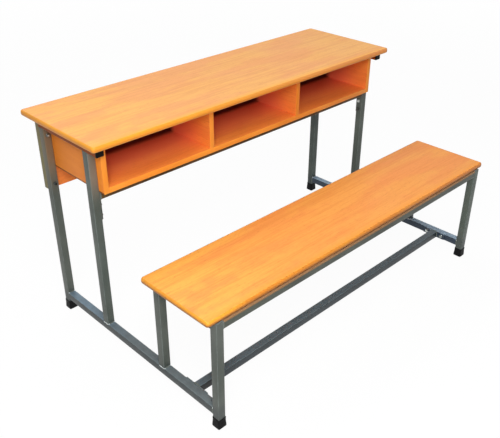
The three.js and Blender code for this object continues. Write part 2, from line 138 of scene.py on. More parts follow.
class Finish(Nodes):  # a material or a world
    def __init__(self, owner):
        owner.use_nodes = True
        super().__init__(owner.node_tree)
        self.owner = owner
        self.tree.nodes.clear()

    def maths(self, operation, first, second=0.0):
        return self.node("ShaderNodeMath", {"operation": operation}, {0: first, 1: second})

    def absolute(self, value):
        return self.maths("ABSOLUTE", value)

    def largest(self, first, *others):
        for other in others:
            first = self.maths("MAXIMUM", first, other)
        return first

    def vector(self, operation, first, second=(0, 0, 0)):
        return self.node("ShaderNodeVectorMath", {"operation": operation}, {0: first, 1: second})

    def parts(self, vector):  # its X, Y and Z
        return [self.node("ShaderNodeSeparateXYZ", sockets={0: vector}, output=axis) for axis in range(3)]

    def mix(self, share, first, second):
        sockets = {0: share, 6: first, 7: second}
        return self.node("ShaderNodeMix", {"data_type": "RGBA"}, sockets, output=2)

    def noise(self, place, scale, detail=2.0, roughness=0.5):
        sockets = {"Vector": place, "Scale": scale, "Detail": detail, "Roughness": roughness}
        return self.node("ShaderNodeTexNoise", sockets=sockets)

    def ramp(self, value, low, high):  # 0 below low, 1 above high, eased between
        sockets = {0: value, 1: low, 2: high}
        return self.node("ShaderNodeMapRange", {"interpolation_type": "SMOOTHSTEP"}, sockets)

    def place(self):
        return self.node("ShaderNodeTexCoord", output="Object")

    def facing(self):  # how much the surface looks along X, Y and Z, with its sign
        return self.parts(self.node("ShaderNodeNewGeometry", output="Normal"))

    def surface(self, colour, roughness, height, bumpDepth, **fixed):
        bump = {"Height": height, "Distance": bumpDepth, "Strength": 1.0}
        normal = self.node("ShaderNodeBump", sockets=bump)
        sockets = {"Base Color": colour, "Roughness": roughness, "Normal": normal}
        for name, value in fixed.items():
            sockets[name.replace("_", " ")] = value
        shader = self.node("ShaderNodeBsdfPrincipled", sockets=sockets)
        self.node("ShaderNodeOutputMaterial", sockets={"Surface": shader})
        return self.owner


def newFinish(name):
    return Finish(bpy.data.materials.new(name))


facingFrom = {  # part of the normal at which a face starts to count as such, and at which it fully does
    "down": (-0.6, -0.9),
    "up": (0.6, 0.95),
    "bench": (-0.5, -0.9),
    "shadedFlank": (0.7, 0.9),
}


# Beech laminate

boardLook = {
    "light": srgb(248, 183, 98),
    "warm": srgb(242, 160, 96),
    "warmFrom": (0.44, 0.6),
    "streak": srgb(228, 144, 76),
    "streakShare": 0.46,
    "fleck": srgb(216, 136, 70),
    "backing": srgb(214, 168, 112),    # the underside
    "yellowEnd": srgb(252, 186, 92),   # the left end
    "yellowReach": (-0.75, 0.1),       # metres along the length
    "edge": srgb(252, 178, 64),        # the rim along the front, a painted highlight where the top rounds into the edging
    "edgeHighlightShare": 0.8,
    "edgeHighlightReach": 26 * mm,
    "roughness": 0.44,
    "shine": 0.35,
}
seatLook = {
    **boardLook,
    "light": srgb(249, 167, 77),
    "warm": srgb(245, 148, 73),
    "streak": srgb(234, 135, 54),
    "fleck": srgb(216, 120, 48),
    "yellowEnd": srgb(252, 184, 78),
    "yellowReach": (-0.72, -0.2),
    # the seat's front rim, a painted highlight too
    "edge": srgb(250, 160, 56),
    "shine": 0.42,
}
panelLook = {
    **boardLook,
    "light": srgb(246, 139, 60),
    "warm": srgb(240, 127, 56),
    "streak": srgb(228, 115, 48),
    "fleck": srgb(204, 100, 40),
    "backing": srgb(212, 126, 62),
    "yellowEnd": srgb(246, 146, 60),
    "yellowReach": (-0.7, 0.7),
    "blush": srgb(255, 120, 84),       # inside the box, further in: a painted redder cast of light bounced between the orange walls
    "blushFrom": (0.09, 0.26),         # metres towards the rear
    "deep": srgb(84, 6, 8),            # inside the box, at the back: painted shade under the desktop
    "deepShadeFrom": (0.266, 0.3),
    "deepShadeShare": 0.92,
    "roughness": 0.5,
}
crossLook = {
    **panelLook,
    "outer": srgb(255, 150, 44),       # the outer faces of the end panels, painted lighter for the light they get
    "outerFrom": (0.64, 0.645),        # metres from the middle
    "outerShare": 0.6,
    "foot": srgb(120, 54, 10),         # a painted shadow along the lower edge of the end panels
    "footShadowFrom": (5 * mm, 3.5 * mm),
    "footShadowShare": 0.9,
}
backLook = {
    **panelLook,
    "end": srgb(120, 112, 76),         # painted shade in dark olive on the panel's two ends, and on the rim of its face beside them
    "endFrom": (0.3, 0.5),             # X of the normal
    "rimWidth": 4 * mm,                # shows past the round corner of the leg
    "rimFade": 1 * mm,
    "rimFacing": (0.5, 0.2),           # Y of the normal
}
laminates = {
    # The look, the axis of the grain, a shift of the pattern, and the board whose front rim has its own tint
    "desktopLaminate": (boardLook, "x", (0.31, 0.12, 0.05), "desktop"),
    "seatLaminate": (seatLook, "x", (2.7, 1.4, 0.3), "seat"),
    "longPanelLaminate": (panelLook, "x", (1.2, 2.1, 0.9), None),
    "backPanelLaminate": (backLook, "x", (0.4, 1.6, 2.2), None),
    "crossPanelLaminate": (crossLook, "y", (0.6, 0.2, 1.7), None),
}
grain = {
    # Noise along the grain and across it, in cycles to the metre, then its detail
    "stray": (1.5, 3.5, 2.0),
    "sway": (1.4, 5.0, 2.0),
    "band": (2.6, 13.0, 3.0),
    "streak": (3.6, 125.0, 4.0),
    "fibre": (26.0, 700.0, 2.0),
    "dash": (60.0, 520.0, 1.0),
    # Noise alike in all directions, then its detail
    "cloud": (22.0, 2.0),              # soft round patches over the bands
    "smear": (5.0, 3.0),
    "wander": 16 * mm,                 # how far the grain strays sideways
    "ringPitch": 11 * mm,              # between year rings
    "ringSquash": 0.35,
    "ringSway": 70 * mm,
    "heart": 50 * mm,                  # from the board to the middle of the log
    "taper": 0.03,
    "patchShares": (0.8, 0.2),         # of bands and clouds in the warm patches
    "warmShare": 0.7,
    "streakFrom": (0.42, 0.66),
    "ringShare": 0.07,
    "fibreFrom": (0.35, 0.8),
    "fibreShare": 0.25,
    "fleckFrom": (0.6, 0.72),
    "fleckShare": 0.5,
    "relief": {"fibre": 0.6, "fleck": -0.5, "streak": 0.3},
    "reliefDepth": 0.05 * mm,
    "roughSmear": 0.16,
    "roughFibre": 0.05,
}
boxInside = {
    "sideFade": (2 * mm, 1 * mm),      # from the inner face of the end panel
    "shelfFade": (-1.5 * mm, -0.5 * mm),
    "backFade": (4 * mm, 1 * mm),
}


def stretched(finish, place, along, longScale, crossScale):
    scales = tuple(longScale if axis == along else crossScale for axis in "xyz")
    return finish.vector("MULTIPLY", place, scales)


def grainNoise(finish, place, along, layer):
    longScale, crossScale, detail = grain[layer]
    return finish.noise(stretched(finish, place, along, longScale, crossScale), 1.0, detail)


def strayedPlace(finish, along, shift):  # the place, moved sideways as the grain wanders
    place = finish.vector("ADD", finish.place(), shift)
    strayed = (grainNoise(finish, place, along, "stray") - 0.5) * (2 * grain["wander"])
    offset = {index: strayed for index, axis in enumerate("xyz") if axis != along}
    return finish.vector("ADD", place, finish.node("ShaderNodeCombineXYZ", sockets=offset))


def yearRings(finish, place, along):
    # Rings round a log whose axis runs with the grain at a slight slope, so a flat cut shows long arches
    sway = (grainNoise(finish, place, along, "sway") - 0.5) * grain["ringSway"]
    parts = finish.parts(place)
    run = parts["xyz".index(along)]
    across = [part for axis, part in zip("xyz", parts) if axis != along]
    sideways = across[0] + sway
    depth = across[1] * grain["ringSquash"] + grain["heart"] + run * grain["taper"] + sway
    reach = finish.maths("SQRT", sideways * sideways + depth * depth)
    return finish.maths("SINE", reach * (math.tau / grain["ringPitch"])) * 0.5 + 0.5


def beyond(finish, value, place, fade):  # a ramp over the fade's two distances from the place
    return finish.ramp(value, place + fade[0], place + fade[1])


def insideBox(finish, spots):
    # 1 on the faces between the end panels, over the shelf and before the back panel
    sides = beyond(finish, finish.absolute(spots[0]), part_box("right_end_panel")[0].x, boxInside["sideFade"])
    above = beyond(finish, spots[2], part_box("shelf")[1].z, boxInside["shelfFade"])
    return sides * above * beyond(finish, spots[1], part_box("back_panel")[0].y, boxInside["backFade"])


def laminateMarks(finish, look, spots, board):  # masks over the grain, each with its colour's name
    if board:
        # a painted highlight on the board's top along its front rim
        yield beyond(finish, spots[1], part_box(board)[0].y, (look["edgeHighlightReach"], 0)) * look["edgeHighlightShare"], "edge"
    if "deep" in look:
        inside = insideBox(finish, spots)
        # painted bounce light: redder further into the box
        yield finish.ramp(spots[1], *look["blushFrom"]) * inside, "blush"
        # painted shade at the back of the box
        yield finish.ramp(spots[1], *look["deepShadeFrom"]) * inside * look["deepShadeShare"], "deep"
    yield finish.ramp(finish.facing()[2], *facingFrom["down"]), "backing"
    sideways = finish.absolute(spots[0])
    if "outer" in look:
        # painted light on the end panels' outer faces
        yield finish.ramp(sideways, *look["outerFrom"]) * look["outerShare"], "outer"
    if "foot" in look:
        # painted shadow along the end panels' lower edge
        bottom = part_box("left_end_panel")[0].z
        yield beyond(finish, spots[2], bottom, look["footShadowFrom"]) * look["footShadowShare"], "foot"
    if "end" in look:
        # painted shade on the panel's ends and the rim beside them
        facing = finish.facing()
        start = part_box("back_panel")[1].x - look["rimWidth"]
        rim = beyond(finish, sideways, start, (0, look["rimFade"]))
        rim = rim * finish.ramp(facing[1], *look["rimFacing"])
        yield finish.largest(finish.ramp(finish.absolute(facing[0]), *look["endFrom"]), rim), "end"


def beechLaminate(name, look, along, shift, board):
    finish = newFinish(name)
    place = strayedPlace(finish, along, shift)
    streak = grainNoise(finish, place, along, "streak")
    fibre = grainNoise(finish, place, along, "fibre")
    fleck = finish.ramp(grainNoise(finish, place, along, "dash"), *grain["fleckFrom"])
    bandShare, cloudShare = grain["patchShares"]
    band = grainNoise(finish, place, along, "band")
    patch = band * bandShare + finish.noise(place, *grain["cloud"]) * cloudShare
    rings = yearRings(finish, place, along)
    layers = (
        (finish.ramp(patch, *look["warmFrom"]), grain["warmShare"], "warm"),
        (finish.ramp(streak, *grain["streakFrom"]), look["streakShare"], "streak"),
        (rings * rings, grain["ringShare"], "streak"),
        (finish.ramp(fibre, *grain["fibreFrom"]), grain["fibreShare"], "streak"),
        (fleck, grain["fleckShare"], "fleck"),
    )
    spots = finish.parts(finish.place())
    base = finish.mix(finish.ramp(spots[0], *look["yellowReach"]), look["yellowEnd"], look["light"])
    for mask, share, tint in layers:
        base = finish.mix(mask * share, base, look[tint])
    for mask, tint in laminateMarks(finish, look, spots, board):
        base = finish.mix(mask, base, look[tint])
    smear = finish.noise(finish.place(), *grain["smear"])
    roughness = look["roughness"] + (smear - 0.5) * grain["roughSmear"] + fibre * grain["roughFibre"]
    relief = grain["relief"]
    height = fibre * relief["fibre"] + fleck * relief["fleck"] + streak * relief["streak"]
    return finish.surface(base, roughness, height, grain["reliefDepth"], Specular_IOR_Level=look["shine"])


# Moulded edging and edge tape

edging = {
    "cloud": (4.0, 3.0),               # noise scale and detail
    "cloudFrom": (0.35, 0.7),
    "drawn": (900.0, 14.0),            # scale up the edging and along it
    "drawnFrom": (0.5, 0.8),
    "drawnShare": 0.25,
    "speck": (1500.0, 2.0),
    "knock": (55.0, 4.0, 0.7),         # noise scale, detail and roughness
    "knockFrom": (0.66, 0.74),
    "knockShare": 0.3,
    "knocked": srgb(176, 112, 48),
    "farFrom": (-0.5, 0.65),           # metres along the length
    "lowerShadeFrom": (-3 * mm, 5 * mm),    # painted shade on the nose's lower half, from the top, and from the bottom
    "lipShadingFrom": (4 * mm, 1 * mm),       # from the bottom; a painted highlight on the desktop, painted shade on the seat
    "seam": srgb(70, 44, 20),          # where the edging's two ends meet, in the middle of the rear edge
    "seamFrom": (0.45 * mm, 0.2 * mm),
    "seamFacing": (0.05, 0.15),
    "seamShare": 0.8,
    "roughCloud": 0.2,
    "roughKnock": 0.15,
    "reliefDepth": 0.03 * mm,
    "shine": 0.3,
}
edgingLooks = {
    # The lower colours are painted shade on the nose's lower half
    "desktopEdging": {"ring": "desktop_moulding", "base": srgb(240, 162, 50), "deep": srgb(226, 148, 42),
                      "lower": srgb(228, 146, 46), "lipShading": srgb(240, 168, 84), "far": srgb(232, 150, 84),
                      "roughness": 0.42},
    "seatEdging": {"ring": "seat_moulding", "base": srgb(238, 162, 50), "deep": srgb(216, 132, 42),
                   "lower": srgb(166, 100, 34), "lipShading": srgb(112, 70, 30), "far": srgb(216, 132, 58),
                   "roughness": 0.42},
    "edgeTape": {"base": srgb(252, 158, 58), "deep": srgb(238, 138, 40), "roughness": 0.46},
}


def edgingPlastic(name, look):
    finish = newFinish(name)
    place = finish.place()
    spots = finish.parts(place)
    cloud = finish.noise(place, *edging["cloud"])
    drawn = finish.noise(stretched(finish, place, "z", *edging["drawn"]), 1.0)
    knocks = finish.ramp(finish.noise(place, *edging["knock"]), *edging["knockFrom"])
    colour = finish.mix(finish.ramp(cloud, *edging["cloudFrom"]), look["base"], look["deep"])
    if "ring" in look:
        low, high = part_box(look["ring"])
        fromTop, fromBottom = edging["lowerShadeFrom"]
        colour = finish.mix(finish.ramp(spots[0], *edging["farFrom"]), colour, look["far"])
        # painted shade on the lower half of the nose
        lower = finish.ramp(spots[2], high.z + fromTop, low.z + fromBottom)
        colour = finish.mix(lower, colour, look["lower"])
        # painted highlight along the desktop's bottom lip, painted shade along the seat's
        colour = finish.mix(beyond(finish, spots[2], low.z, edging["lipShadingFrom"]), colour, look["lipShading"])
    colour = finish.mix(finish.ramp(drawn, *edging["drawnFrom"]) * edging["drawnShare"], colour, look["deep"])
    colour = finish.mix(knocks * edging["knockShare"], colour, edging["knocked"])
    if "ring" in look:
        rearwards = finish.ramp(finish.facing()[1], *edging["seamFacing"])
        seam = finish.ramp(finish.absolute(spots[0]), *edging["seamFrom"]) * rearwards
        colour = finish.mix(seam * edging["seamShare"], colour, edging["seam"])
    roughness = look["roughness"] + (cloud - 0.5) * edging["roughCloud"] + knocks * edging["roughKnock"]
    height = finish.noise(place, *edging["speck"]) * 0.5 + drawn * 0.5
    shine = edging["shine"]
    return finish.surface(colour, roughness, height, edging["reliefDepth"], Specular_IOR_Level=shine)


# Powder-coated steel

steel = {
    "base": srgb(86, 91, 84),
    "dark": srgb(72, 78, 71),
    "rubbedAndHighlit": srgb(140, 150, 150),
    "rub": 0.15,                       # least share of that colour on rounded corners, a painted highlight along every one
    "dust": srgb(146, 174, 196),       # dust on faces that look up, with painted light from above that turns bluish towards the rear
    "dustAndTopLightFront": srgb(146, 160, 166),
    "dustShare": (0.12, 0.5),          # at least, and how much more
    "lowDark": srgb(58, 64, 66),          # darker near the floor, in patches
    "shine": 0.3,
}
# A shaded copy for parts low on the frame, darker, with a stronger painted highlight on its corners
lowSteel = {
    **steel,
    "base": srgb(74, 80, 77),
    "dark": srgb(60, 67, 65),
    "rub": 0.45,
    "lowDark": srgb(48, 54, 57),
    "dustShare": (0.22, 0.3),
}
# Each coat after the first is the same grey paint with light and shade painted in for its place
coats = {                              # heights and places in metres
    "powderCoat": steel,
    "lowPowderCoat": lowSteel,
    # painted shade: darker and bluer under the seat
    "stretcherPowderCoat": {
        **lowSteel, "base": srgb(59, 69, 76), "dark": srgb(47, 57, 64),
        "dustAndTopLightFront": srgb(132, 150, 160), "dustShare": (0.3, 0.16),
        # painted shadow on the front face at the left end, behind the bench's front leg
        "soot": srgb(3, 5, 5), "sootFrom": (-0.535, -0.585),
    },
    # painted cool light: bluer and lighter on the right runner and its plate
    "farPowderCoat": {
        **lowSteel, "base": srgb(62, 77, 94), "dark": srgb(50, 64, 80), "lowDark": srgb(44, 56, 70),
        "dust": srgb(178, 204, 226), "dustAndTopLightFront": srgb(178, 204, 226), "dustShare": (0.5, 0.5),
    },
    # painted shade: darker under the seat, with a painted warm band at the top
    "railPowderCoat": {
        **steel, "base": srgb(74, 79, 69), "dark": srgb(61, 65, 56),
        "band": srgb(156, 112, 70), "bandFrom": (0.3795, 0.3855),
    },
    # painted brown shade on the bearers' side faces, under the desktop's overhang
    "bearerPowderCoat": {**steel, "shadedFlank": srgb(150, 70, 2), "shine": 0.1},
    # painted shade in brown, under the shelf
    "shelfRailPowderCoat": {
        **steel, "base": srgb(104, 82, 54), "dark": srgb(84, 66, 42),
        "rubbedAndHighlit": srgb(120, 96, 64), "shine": 0.1,
    },
    # painted warm bounce light on the front desk legs
    "warmPowderCoat": {
        **steel, "base": srgb(85, 93, 86), "dark": srgb(71, 78, 71),
        "warm": srgb(184, 156, 134), "warmFrom": (0.52, 0.63), "warmShare": 0.24,
    },
    # painted warm bounce light on the left rear desk leg
    "warmRearPowderCoat": {
        **steel, "warm": srgb(188, 124, 88), "warmFrom": (0.45, 0.62), "warmShare": 0.13,
        "band": srgb(100, 92, 72), "bandFrom": (0.45, 0.62),
    },
    # painted light: lighter on the right front bench leg
    "rightLegPowderCoat": {**steel, "base": srgb(94, 102, 94), "dark": srgb(80, 88, 80)},
    # painted shadow band under the box on the right rear desk leg
    "rearLegPowderCoat": {
        **steel, "base": srgb(80, 90, 84), "dark": srgb(66, 76, 70),
        "band": srgb(22, 22, 20), "bandFrom": (0.42, 0.482),
    },
    "shadedPowderCoat": {**steel, "base": srgb(34, 38, 40), "dark": srgb(26, 30, 32)},
}
coat = {
    # Noise scale and detail, some with its roughness
    "peel": (650.0, 2.0),
    "grit": (2600.0, 1.0),
    "cloud": (7.0, 3.0),
    "rub": (34.0, 5.0, 0.7),
    "lowPatch": (16.0, 4.0, 0.65),
    "settle": (40.0, 4.0),
    "cloudFrom": (0.35, 0.68),
    "gritFrom": (0.55, 0.75),
    "gritShare": 0.25,
    "cornerFrom": (0.02, 0.2),         # how far the normal is from any axis
    "rubFrom": (0.4, 0.62),
    "rubShare": 0.35,
    "lowPatchFrom": (0.25, 0.6),
    "lowPatchShare": (0.3, 0.45),          # at least, and how much more
    "lowDarkFrom": (0.1, 0.06),           # metres above the floor
    "rearFrom": (-0.1, 0.25),          # metres towards the rear
    "bandShare": 0.85,
    "sootShare": 0.9,
    "roughness": 0.4,
    "roughCloud": 0.18,
    "roughCorner": -0.06,
    "roughDust": 0.15,
    "relief": {"peel": 0.7, "grit": 0.3},
    "reliefDepth": 0.04 * mm,
}


def coatMarks(finish, look, spots, facing):  # masks over the paint, each with its colour's name
    if "band" in look:
        # A painted band: warm light bounced off the wood on the seat rails' tops and the left rear leg, shadow
        # under the box on the right rear leg
        yield finish.ramp(spots[2], *look["bandFrom"]) * coat["bandShare"], "band"
    if "warm" in look:  # painted warm light bounced off the wood, towards the top, on the side of the bench
        benchwards = finish.ramp(facing[1], *facingFrom["bench"])
        yield finish.ramp(spots[2], *look["warmFrom"]) * benchwards * look["warmShare"], "warm"
    # painted shadow on the bench side of the stretcher's left end
    if "soot" in look:
        benchwards = finish.ramp(facing[1], *facingFrom["bench"])
        yield finish.ramp(spots[0], *look["sootFrom"]) * benchwards * coat["sootShare"], "soot"
    # painted brown shade on the side faces
    if "shadedFlank" in look:
        yield finish.ramp(finish.absolute(facing[0]), *facingFrom["shadedFlank"]), "shadedFlank"


def powderCoat(name, look):
    finish = newFinish(name)
    place = finish.place()
    spots = finish.parts(place)
    facing = finish.facing()
    peel = finish.noise(place, *coat["peel"])
    grit = finish.noise(place, *coat["grit"])
    cloud = finish.noise(place, *coat["cloud"])
    colour = finish.mix(finish.ramp(cloud, *coat["cloudFrom"]), look["base"], look["dark"])
    colour = finish.mix(finish.ramp(grit, *coat["gritFrom"]) * coat["gritShare"], colour, look["rubbedAndHighlit"])

    flat = finish.largest(*[finish.absolute(side) for side in facing])
    # Corners take the lighter colour: real rubbing in patches, over a painted highlight along every corner
    corner = finish.ramp(1 - flat, *coat["cornerFrom"])
    rub = finish.ramp(finish.noise(place, *coat["rub"]), *coat["rubFrom"])
    colour = finish.mix(corner * (rub * coat["rubShare"] + look["rub"]), colour, look["rubbedAndHighlit"])

    # Darker towards the floor, in patches
    least, more = coat["lowPatchShare"]
    lowPatches = finish.ramp(finish.noise(place, *coat["lowPatch"]), *coat["lowPatchFrom"]) * more + least
    colour = finish.mix(lowPatches * finish.ramp(spots[2], *coat["lowDarkFrom"]), colour, look["lowDark"])

    # Upward faces: real dust in patches, and painted light from above, bluer towards the rear
    least, more = look["dustShare"]
    upwards = finish.ramp(facing[2], *facingFrom["up"])
    dustAndTopLight = upwards * (finish.noise(place, *coat["settle"]) * more + least)
    dust = finish.mix(finish.ramp(spots[1], *coat["rearFrom"]), look["dustAndTopLightFront"], look["dust"])
    colour = finish.mix(dustAndTopLight, colour, dust)

    for mask, tint in coatMarks(finish, look, spots, facing):
        colour = finish.mix(mask, colour, look[tint])
    roughness = coat["roughness"] + (cloud - 0.5) * coat["roughCloud"]
    roughness = roughness + corner * coat["roughCorner"] + dustAndTopLight * coat["roughDust"]
    height = peel * coat["relief"]["peel"] + grit * coat["relief"]["grit"]
    return finish.surface(colour, roughness, height, coat["reliefDepth"], Specular_IOR_Level=look["shine"])


# Paint over the welds, with bright painted highlights at the ends of the beads on the runners' tops

weldLook = {
    "base": srgb(104, 110, 104),
    "dark": srgb(78, 85, 80),
    "glint": srgb(226, 234, 234),
    "scale": (420.0, 3.0),             # noise scale and detail
    "scaleFrom": (0.4, 0.7),
    "endFrom": (8 * mm, 11 * mm),      # from the middle of the leg
    "innerFrom": (-1.5 * mm, -0.5 * mm),  # from the inner face of the leg
    "aboveFrom": (-4.5 * mm, -2.5 * mm),  # over the runner's top
    "belowFrom": (11 * mm, 7 * mm),    # over it too
    "facing": (-0.1, -0.4),            # Y of the normal
    "roughness": 0.34,
    "roughScale": 0.2,
    "reliefDepth": 0.12 * mm,
    "shine": 0.3,
}


def weldPaint(name):
    look = weldLook
    finish = newFinish(name)
    place = finish.place()
    scale = finish.noise(place, *look["scale"])
    spots = finish.parts(place)
    sideways = finish.absolute(spots[0])
    legLow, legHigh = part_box("right_desk_front_leg")
    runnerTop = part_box("right_runner")[1].z
    # painted highlight where the bead meets the runner's top
    glint = finish.ramp(finish.absolute(sideways - (legLow.x + legHigh.x) / 2), *look["endFrom"])
    glint = glint * beyond(finish, sideways, legLow.x, look["innerFrom"])
    glint = glint * finish.ramp(finish.facing()[1], *look["facing"])
    glint = glint * beyond(finish, spots[2], runnerTop, look["aboveFrom"])
    glint = glint * beyond(finish, spots[2], runnerTop, look["belowFrom"])
    colour = finish.mix(finish.ramp(scale, *look["scaleFrom"]), look["base"], look["dark"])
    colour = finish.mix(glint, colour, look["glint"])
    roughness = look["roughness"] + scale * look["roughScale"]
    return finish.surface(colour, roughness, scale, look["reliefDepth"], Specular_IOR_Level=look["shine"])


# Black plastic and zinc plate

plasticLook = {
    "base": srgb(4, 4, 5),
    "dust": srgb(28, 28, 28),
    "dustShare": 0.15,
    "leather": (900.0, 3.0),           # noise scale and detail
    "settle": (26.0, 4.0, 0.65),
    "settleFrom": (0.5, 0.78),
    "roughness": 0.5,
    "roughDust": 0.2,
    "roughLeather": 0.08,
    "reliefDepth": 0.05 * mm,
    "shine": 0.12,
}
zinc = {
    "spangle": (380.0, 3.0),           # noise scale and detail
    "dull": (70.0, 3.0),
    "dullFrom": (0.45, 0.7),
    "roughDull": 0.2,
    "roughSpangle": 0.1,
    "tailFade": (0, -1 * mm),          # from the face of the leg
    "reliefDepth": 0.02 * mm,
}
zincLooks = {
    "zincPlate": {"bright": srgb(196, 200, 196), "dulled": srgb(150, 156, 154),
                  "roughness": 0.24, "metal": 1.0},
    "dullZincPlate": {"bright": srgb(140, 142, 138), "dulled": srgb(90, 92, 88),
                      "roughness": 0.36, "metal": 1.0},
    # painted shade: a dark copy of the zinc for fasteners that sit in shadow
    "oldZincPlate": {"bright": srgb(66, 68, 64), "dulled": srgb(38, 40, 38),
                     "roughness": 0.5, "metal": 0.3},
}
# Painted shade where the tail of the bolt stands out before the face of the leg
zincLooks["tailZincPlate"] = {**zincLooks["zincPlate"], "tail": srgb(38, 40, 38)}


def blackPlastic(name):
    look = plasticLook
    finish = newFinish(name)
    place = finish.place()
    leather = finish.noise(place, *look["leather"])
    dust = finish.ramp(finish.noise(place, *look["settle"]), *look["settleFrom"])
    colour = finish.mix(dust * look["dustShare"], look["base"], look["dust"])
    roughness = look["roughness"] + dust * look["roughDust"] + leather * look["roughLeather"]
    return finish.surface(colour, roughness, leather, look["reliefDepth"], Specular_IOR_Level=look["shine"])


def zincPlate(name, look):
    finish = newFinish(name)
    place = finish.place()
    spangle = finish.noise(place, *zinc["spangle"])
    dull = finish.ramp(finish.noise(place, *zinc["dull"]), *zinc["dullFrom"])
    colour = finish.mix(dull, look["bright"], look["dulled"])
    if "tail" in look:
        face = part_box("left_desk_rear_leg")[0].y
        tail = beyond(finish, finish.parts(place)[1], face, zinc["tailFade"])
        colour = finish.mix(tail, colour, look["tail"])
    roughness = look["roughness"] + dull * zinc["roughDull"] + spangle * zinc["roughSpangle"]
    return finish.surface(colour, roughness, spangle, zinc["reliefDepth"], Metallic=look["metal"])


finishes = {"weldPaint": weldPaint("weldPaint"), "blackPlastic": blackPlastic("blackPlastic")}
for name, values in laminates.items():
    finishes[name] = beechLaminate(name, *values)
for make, looks in ((edgingPlastic, edgingLooks), (powderCoat, coats), (zincPlate, zincLooks)):
    for name, look in looks.items():
        finishes[name] = make(name, look)
print("finishes made:", len(finishes))


# Dressing the frame's own nodes

dressing = {
    "slots": {
        "steel": "powderCoat",
        "panel": "crossPanelLaminate",
        "tape": "edgeTape",
        "plastic": "blackPlastic",
        "zinc": "zincPlate",
    },
    "nodes": {
        "desktop": "desktopLaminate",
        "seat": "seatLaminate",
        "shelf": "longPanelLaminate",
        "back_panel": "backPanelLaminate",
        "desktop_moulding": "desktopEdging",
        "seat_moulding": "seatEdging",
        "left_runner": "lowPowderCoat",
        "right_runner": "farPowderCoat",
        "floor_stretcher": "stretcherPowderCoat",
        "left_stretcher_plate": "lowPowderCoat",
        "right_stretcher_plate": "farPowderCoat",
        "right_bench_front_leg": "rightLegPowderCoat",
        "right_bench_rear_leg": "shadedPowderCoat",
        "right_desk_rear_leg": "rearLegPowderCoat",
        "seat_front_rail": "railPowderCoat",
        "seat_rear_rail": "railPowderCoat",
        "left_desk_bearer": "bearerPowderCoat",
        "right_desk_bearer": "bearerPowderCoat",
        "shelf_rail": "shelfRailPowderCoat",
        "left_desk_front_leg": "warmPowderCoat",
        "left_desk_rear_leg": "warmRearPowderCoat",
        "right_desk_front_leg": "warmPowderCoat",
    },
    "softEdges": {"panel": 0.5 * mm, "tape": 0.3 * mm, "plastic": 0.6 * mm},
    "softSteps": 3,
    "softAngle": math.radians(40),     # edges sharper than this are broken
    "flatAngle": math.radians(0.5),    # facets flatter than this are joined first
    "sharpAngle": math.radians(38),    # edges sharper than this stay sharp in the shading
    "joinDistance": 0.01 * mm,
}


def meshGroup(name, build):
    group = bpy.data.node_groups.new(name, "GeometryNodeTree")
    for way in ("INPUT", "OUTPUT"):
        group.interface.new_socket("Mesh", in_out=way, socket_type="NodeSocketGeometry")
    nodes = Nodes(group)
    nodes.node("NodeGroupOutput", sockets={0: build(nodes, nodes.node("NodeGroupInput"))})
    return group


def joinFacets(nodes, mesh):
    sockets = {"Geometry": mesh, "Distance": dressing["joinDistance"]}
    return nodes.node("GeometryNodeMergeByDistance", sockets=sockets)


def shadeByAngle(nodes, mesh):
    angle = nodes.node("GeometryNodeInputMeshEdgeAngle", output="Unsigned Angle")
    sockets = {"A": angle, "B": dressing["sharpAngle"]}
    sharp = nodes.node("FunctionNodeCompare", {"operation": "GREATER_THAN"}, sockets)
    sockets = {"Mesh": mesh, "Remove Custom": True, "Edge Sharpness": sharp}
    return nodes.node("GeometryNodeSetMeshNormal", {"mode": "SHARPNESS"}, sockets)


meshGroups = {
    "joinFacets": meshGroup("joinFacets", joinFacets),
    "shadeByAngle": meshGroup("shadeByAngle", shadeByAngle),
}


def addGroup(piece, name):
    piece.modifiers.new(name, "NODES").node_group = meshGroups[name]


def dress(piece, finish, softEdge):
    piece.data.materials.clear()
    piece.data.materials.append(finish)
    addGroup(piece, "joinFacets")
    if softEdge:
        plane = piece.modifiers.new("plainFaces", "DECIMATE")
        plane.decimate_type = "DISSOLVE"
        plane.angle_limit = dressing["flatAngle"]
        bevel = piece.modifiers.new("softEdges", "BEVEL")
        bevel.width = softEdge
        bevel.segments = dressing["softSteps"]
        bevel.limit_method = "ANGLE"
        bevel.angle_limit = dressing["softAngle"]
    addGroup(piece, "shadeByAngle")


def dressFrame():
    slots = {part["node"]: part["material_slot"] for part in frame["record"]["subparts"]}
    for name, piece in cadNodes.items():
        slot = slots[name]
        finish = dressing["nodes"].get(name) or dressing["slots"][slot]
        dress(piece, finishes[finish], dressing["softEdges"].get(slot, 0.0))


dressFrame()
print("frame dressed")


# New meshes

def addMesh(name, mesh, finish):
    bmesh.ops.recalc_face_normals(mesh, faces=mesh.faces)
    data = bpy.data.meshes.new(name)
    mesh.to_mesh(data)
    mesh.free()
    data.materials.append(finishes[finish])
    piece = bpy.data.objects.new(name, data)
    bpy.context.scene.collection.objects.link(piece)
    addGroup(piece, "shadeByAngle")
    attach(piece, "root")
    return piece


def stitch(mesh, lower, upper):  # faces between two loops of equal length
    for step in range(len(lower)):
        after = (step + 1) % len(lower)
        mesh.faces.new((lower[step], lower[after], upper[after], upper[step]))


def skin(mesh, rings, ends="capped"):  # the end rings are capped, joined to each other or left open
    loops = [[mesh.verts.new(point) for point in ring] for ring in rings]
    for lower, upper in zip(loops, loops[1:]):
        stitch(mesh, lower, upper)
    if ends == "capped":
        mesh.faces.new(list(reversed(loops[0])))
        mesh.faces.new(loops[-1])
    elif ends == "joined":
        stitch(mesh, loops[-1], loops[0])


# Boards and their edging, with finer noses and corners as sharp as in the photo

